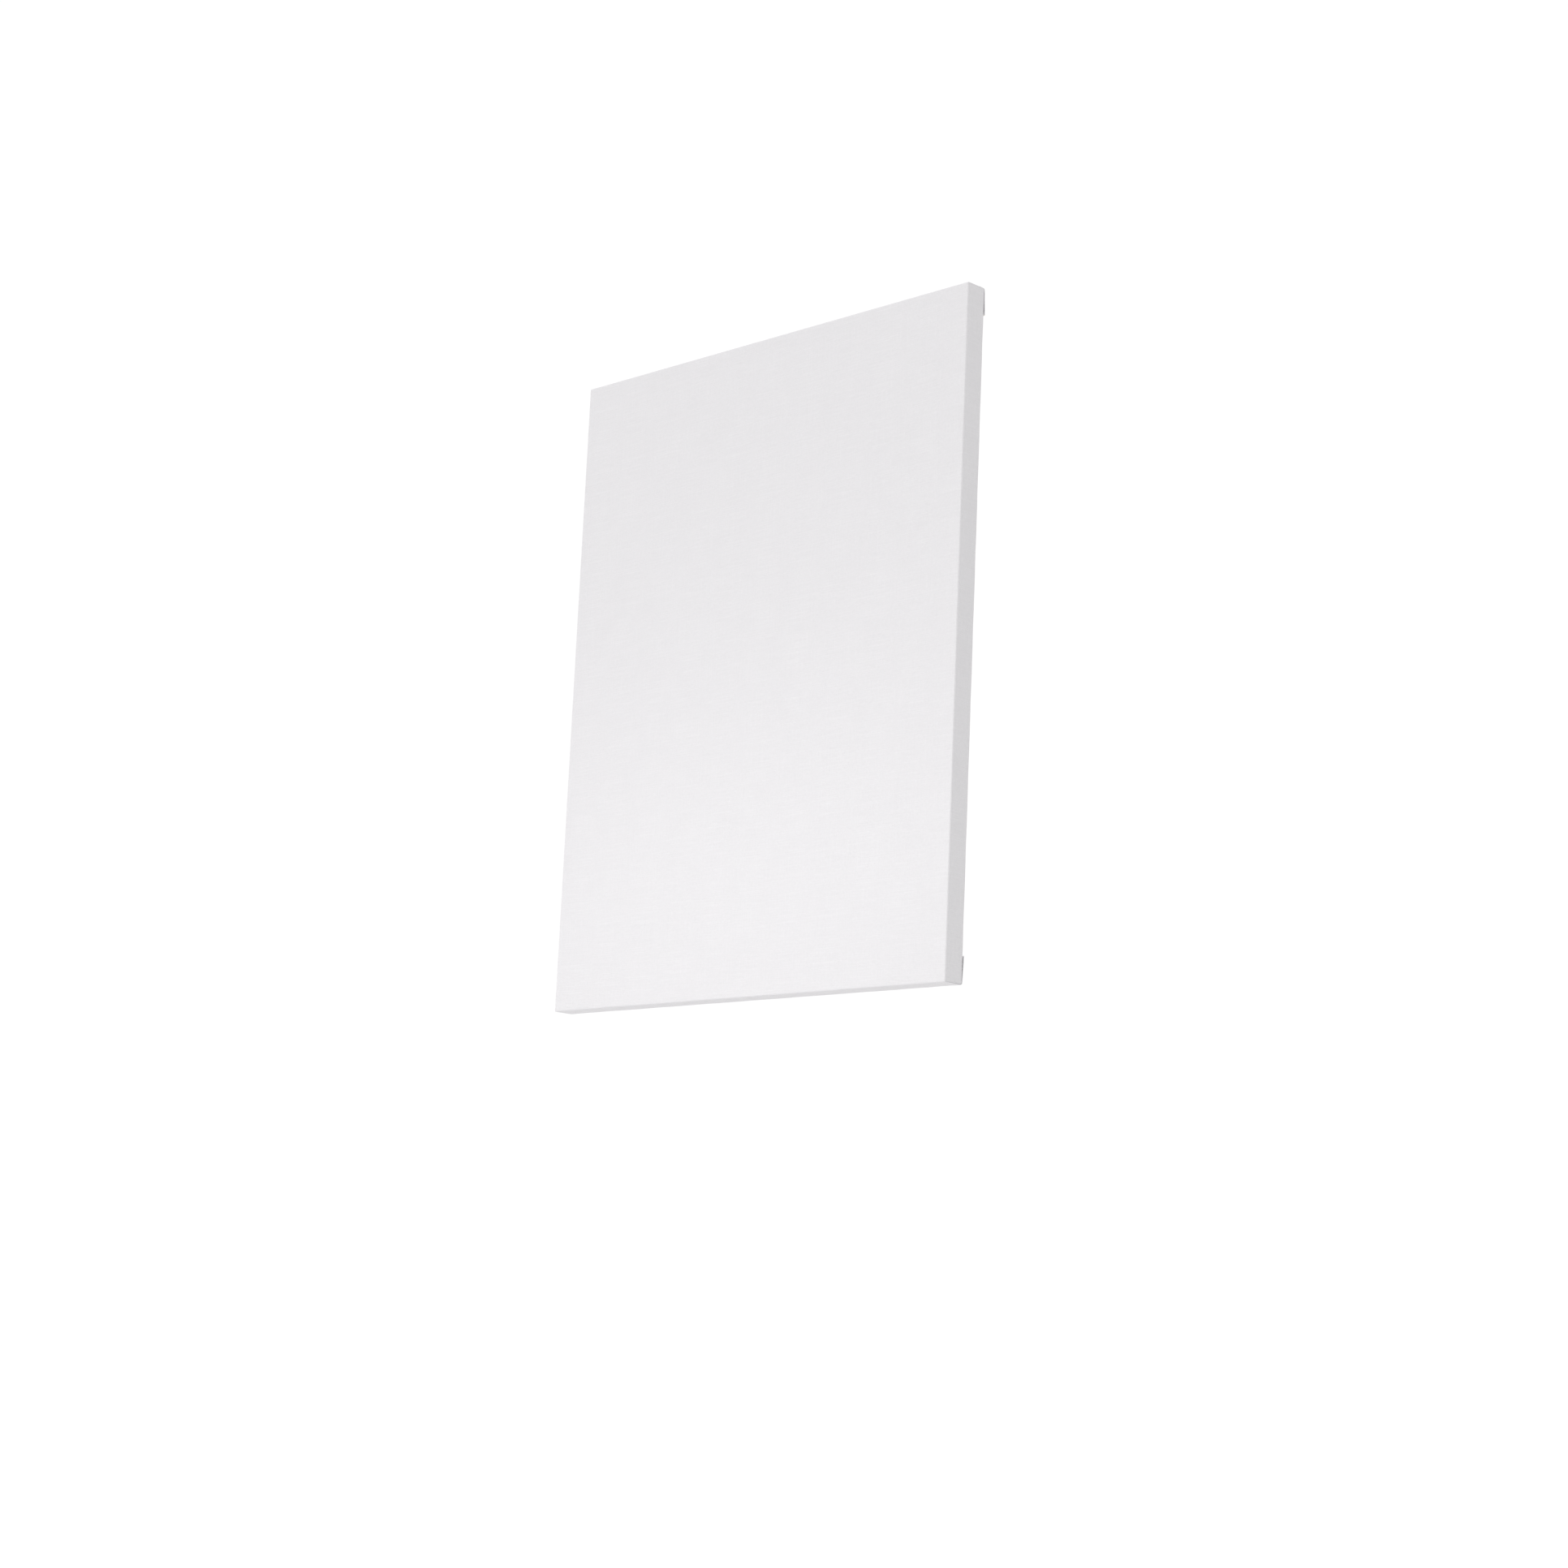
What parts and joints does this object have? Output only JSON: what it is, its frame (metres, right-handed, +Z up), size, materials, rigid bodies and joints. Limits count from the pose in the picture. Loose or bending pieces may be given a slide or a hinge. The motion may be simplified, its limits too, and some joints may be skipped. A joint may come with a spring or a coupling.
{
  "type": "stretched canvas",
  "caption": "Deep-edge stretched canvas: primed cotton wrapped round a keyed pine stretcher frame with a cross brace, stapled on the back, with keys that spread the frame.",
  "frame": {"origin": "middle of the bottom edge, halfway through the depth", "axes": "+X to the viewer's right when facing the primed front, +Y from the front to the back, +Z up"},
  "size_m": [0.8, 0.0371, 1],
  "materials": {
    "cloth": "matte white acrylic primer on cotton duck",
    "pine": "planed, unfinished softwood",
    "beech": "sawn hardwood",
    "staple": "galvanised wire"
  },
  "bodies": {
    "cloth_and_braces": {"canvas_cloth": "cloth", "horizontal_brace": "pine", "vertical_brace": "pine"},
    "top_bar": {"top_stretcher_bar": "pine", "top_staple_1": "staple", "top_staple_2": "staple", "top_staple_3": "staple", "top_staple_4": "staple", "top_staple_5": "staple", "top_staple_6": "staple", "top_staple_7": "staple", "top_staple_8": "staple", "top_staple_9": "staple"},
    "right_bar": {"right_stretcher_bar": "pine", "right_staple_1": "staple", "right_staple_2": "staple", "right_staple_3": "staple", "right_staple_4": "staple", "right_staple_5": "staple", "right_staple_6": "staple", "right_staple_7": "staple", "right_staple_8": "staple", "right_staple_9": "staple"},
    "bottom_bar": {"bottom_stretcher_bar": "pine", "bottom_staple_1": "staple", "bottom_staple_2": "staple", "bottom_staple_3": "staple", "bottom_staple_4": "staple", "bottom_staple_5": "staple", "bottom_staple_6": "staple", "bottom_staple_7": "staple", "bottom_staple_8": "staple", "bottom_staple_9": "staple"},
    "left_bar": {"left_stretcher_bar": "pine", "left_staple_1": "staple", "left_staple_2": "staple", "left_staple_3": "staple", "left_staple_4": "staple", "left_staple_5": "staple", "left_staple_6": "staple", "left_staple_7": "staple", "left_staple_8": "staple", "left_staple_9": "staple"},
    "top_bar_key_left": {"top_bar_key_left": "beech"},
    "top_bar_key_right": {"top_bar_key_right": "beech"},
    "top_brace_key_left": {"top_brace_key_left": "beech"},
    "top_brace_key_right": {"top_brace_key_right": "beech"},
    "right_bar_key_top": {"right_bar_key_top": "beech"},
    "right_bar_key_bottom": {"right_bar_key_bottom": "beech"},
    "right_brace_key_top": {"right_brace_key_top": "beech"},
    "right_brace_key_bottom": {"right_brace_key_bottom": "beech"},
    "bottom_bar_key_right": {"bottom_bar_key_right": "beech"},
    "bottom_bar_key_left": {"bottom_bar_key_left": "beech"},
    "bottom_brace_key_right": {"bottom_brace_key_right": "beech"},
    "bottom_brace_key_left": {"bottom_brace_key_left": "beech"},
    "left_bar_key_bottom": {"left_bar_key_bottom": "beech"},
    "left_bar_key_top": {"left_bar_key_top": "beech"},
    "left_brace_key_bottom": {"left_brace_key_bottom": "beech"},
    "left_brace_key_top": {"left_brace_key_top": "beech"}
  },
  "joints": [
    {"name": "top_bar_out", "type": "slide", "parent": "cloth_and_braces", "child": "top_bar", "axis": [0, 0, 1], "range_m": [0, 0.0012]},
    {"name": "right_bar_out", "type": "slide", "parent": "cloth_and_braces", "child": "right_bar", "axis": [1, 0, 0], "range_m": [0, 0.0012]},
    {"name": "bottom_bar_out", "type": "slide", "parent": "cloth_and_braces", "child": "bottom_bar", "axis": [0, 0, -1], "range_m": [0, 0.0012]},
    {"name": "left_bar_out", "type": "slide", "parent": "cloth_and_braces", "child": "left_bar", "axis": [-1, 0, 0], "range_m": [0, 0.0012]},
    {"name": "top_bar_key_left_in", "type": "slide", "parent": "top_bar", "child": "top_bar_key_left", "axis": [-0.2419, 0, 0.9703], "range_m": [0, 0.00496]},
    {"name": "top_bar_key_right_in", "type": "slide", "parent": "top_bar", "child": "top_bar_key_right", "axis": [0.2419, 0, 0.9703], "range_m": [0, 0.00496]},
    {"name": "top_brace_key_left_in", "type": "slide", "parent": "cloth_and_braces", "child": "top_brace_key_left", "axis": [0.9703, 0, 0.2419], "range_m": [0, 0.00496]},
    {"name": "top_brace_key_right_in", "type": "slide", "parent": "cloth_and_braces", "child": "top_brace_key_right", "axis": [-0.9703, 0, 0.2419], "range_m": [0, 0.00496]},
    {"name": "right_bar_key_top_in", "type": "slide", "parent": "right_bar", "child": "right_bar_key_top", "axis": [0.9703, 0, 0.2419], "range_m": [0, 0.00496]},
    {"name": "right_bar_key_bottom_in", "type": "slide", "parent": "right_bar", "child": "right_bar_key_bottom", "axis": [0.9703, 0, -0.2419], "range_m": [0, 0.00496]},
    {"name": "right_brace_key_top_in", "type": "slide", "parent": "cloth_and_braces", "child": "right_brace_key_top", "axis": [0.2419, 0, -0.9703], "range_m": [0, 0.00496]},
    {"name": "right_brace_key_bottom_in", "type": "slide", "parent": "cloth_and_braces", "child": "right_brace_key_bottom", "axis": [0.2419, 0, 0.9703], "range_m": [0, 0.00496]},
    {"name": "bottom_bar_key_right_in", "type": "slide", "parent": "bottom_bar", "child": "bottom_bar_key_right", "axis": [0.2419, 0, -0.9703], "range_m": [0, 0.00496]},
    {"name": "bottom_bar_key_left_in", "type": "slide", "parent": "bottom_bar", "child": "bottom_bar_key_left", "axis": [-0.2419, 0, -0.9703], "range_m": [0, 0.00496]},
    {"name": "bottom_brace_key_right_in", "type": "slide", "parent": "cloth_and_braces", "child": "bottom_brace_key_right", "axis": [-0.9703, 0, -0.2419], "range_m": [0, 0.00496]},
    {"name": "bottom_brace_key_left_in", "type": "slide", "parent": "cloth_and_braces", "child": "bottom_brace_key_left", "axis": [0.9703, 0, -0.2419], "range_m": [0, 0.00496]},
    {"name": "left_bar_key_bottom_in", "type": "slide", "parent": "left_bar", "child": "left_bar_key_bottom", "axis": [-0.9703, 0, -0.2419], "range_m": [0, 0.00496]},
    {"name": "left_bar_key_top_in", "type": "slide", "parent": "left_bar", "child": "left_bar_key_top", "axis": [-0.9703, 0, 0.2419], "range_m": [0, 0.00496]},
    {"name": "left_brace_key_bottom_in", "type": "slide", "parent": "cloth_and_braces", "child": "left_brace_key_bottom", "axis": [-0.2419, 0, 0.9703], "range_m": [0, 0.00496]},
    {"name": "left_brace_key_top_in", "type": "slide", "parent": "cloth_and_braces", "child": "left_brace_key_top", "axis": [-0.2419, 0, -0.9703], "range_m": [0, 0.00496]}
  ],
  "couplings": [
    {"joint": "bottom_bar_out", "follows": "top_bar_out", "ratio": 1},
    {"joint": "left_bar_out", "follows": "right_bar_out", "ratio": 1},
    {"joint": "top_bar_key_left_in", "follows": "right_bar_out", "ratio": 4.1336},
    {"joint": "top_bar_key_right_in", "follows": "right_bar_out", "ratio": 4.1336},
    {"joint": "top_brace_key_left_in", "follows": "top_bar_out", "ratio": 4.1336},
    {"joint": "top_brace_key_right_in", "follows": "top_bar_out", "ratio": 4.1336},
    {"joint": "right_bar_key_top_in", "follows": "top_bar_out", "ratio": 4.1336},
    {"joint": "right_bar_key_bottom_in", "follows": "top_bar_out", "ratio": 4.1336},
    {"joint": "right_brace_key_top_in", "follows": "right_bar_out", "ratio": 4.1336},
    {"joint": "right_brace_key_bottom_in", "follows": "right_bar_out", "ratio": 4.1336},
    {"joint": "bottom_bar_key_right_in", "follows": "right_bar_out", "ratio": 4.1336},
    {"joint": "bottom_bar_key_left_in", "follows": "right_bar_out", "ratio": 4.1336},
    {"joint": "bottom_brace_key_right_in", "follows": "top_bar_out", "ratio": 4.1336},
    {"joint": "bottom_brace_key_left_in", "follows": "top_bar_out", "ratio": 4.1336},
    {"joint": "left_bar_key_bottom_in", "follows": "top_bar_out", "ratio": 4.1336},
    {"joint": "left_bar_key_top_in", "follows": "top_bar_out", "ratio": 4.1336},
    {"joint": "left_brace_key_bottom_in", "follows": "right_bar_out", "ratio": 4.1336},
    {"joint": "left_brace_key_top_in", "follows": "right_bar_out", "ratio": 4.1336}
  ]
}
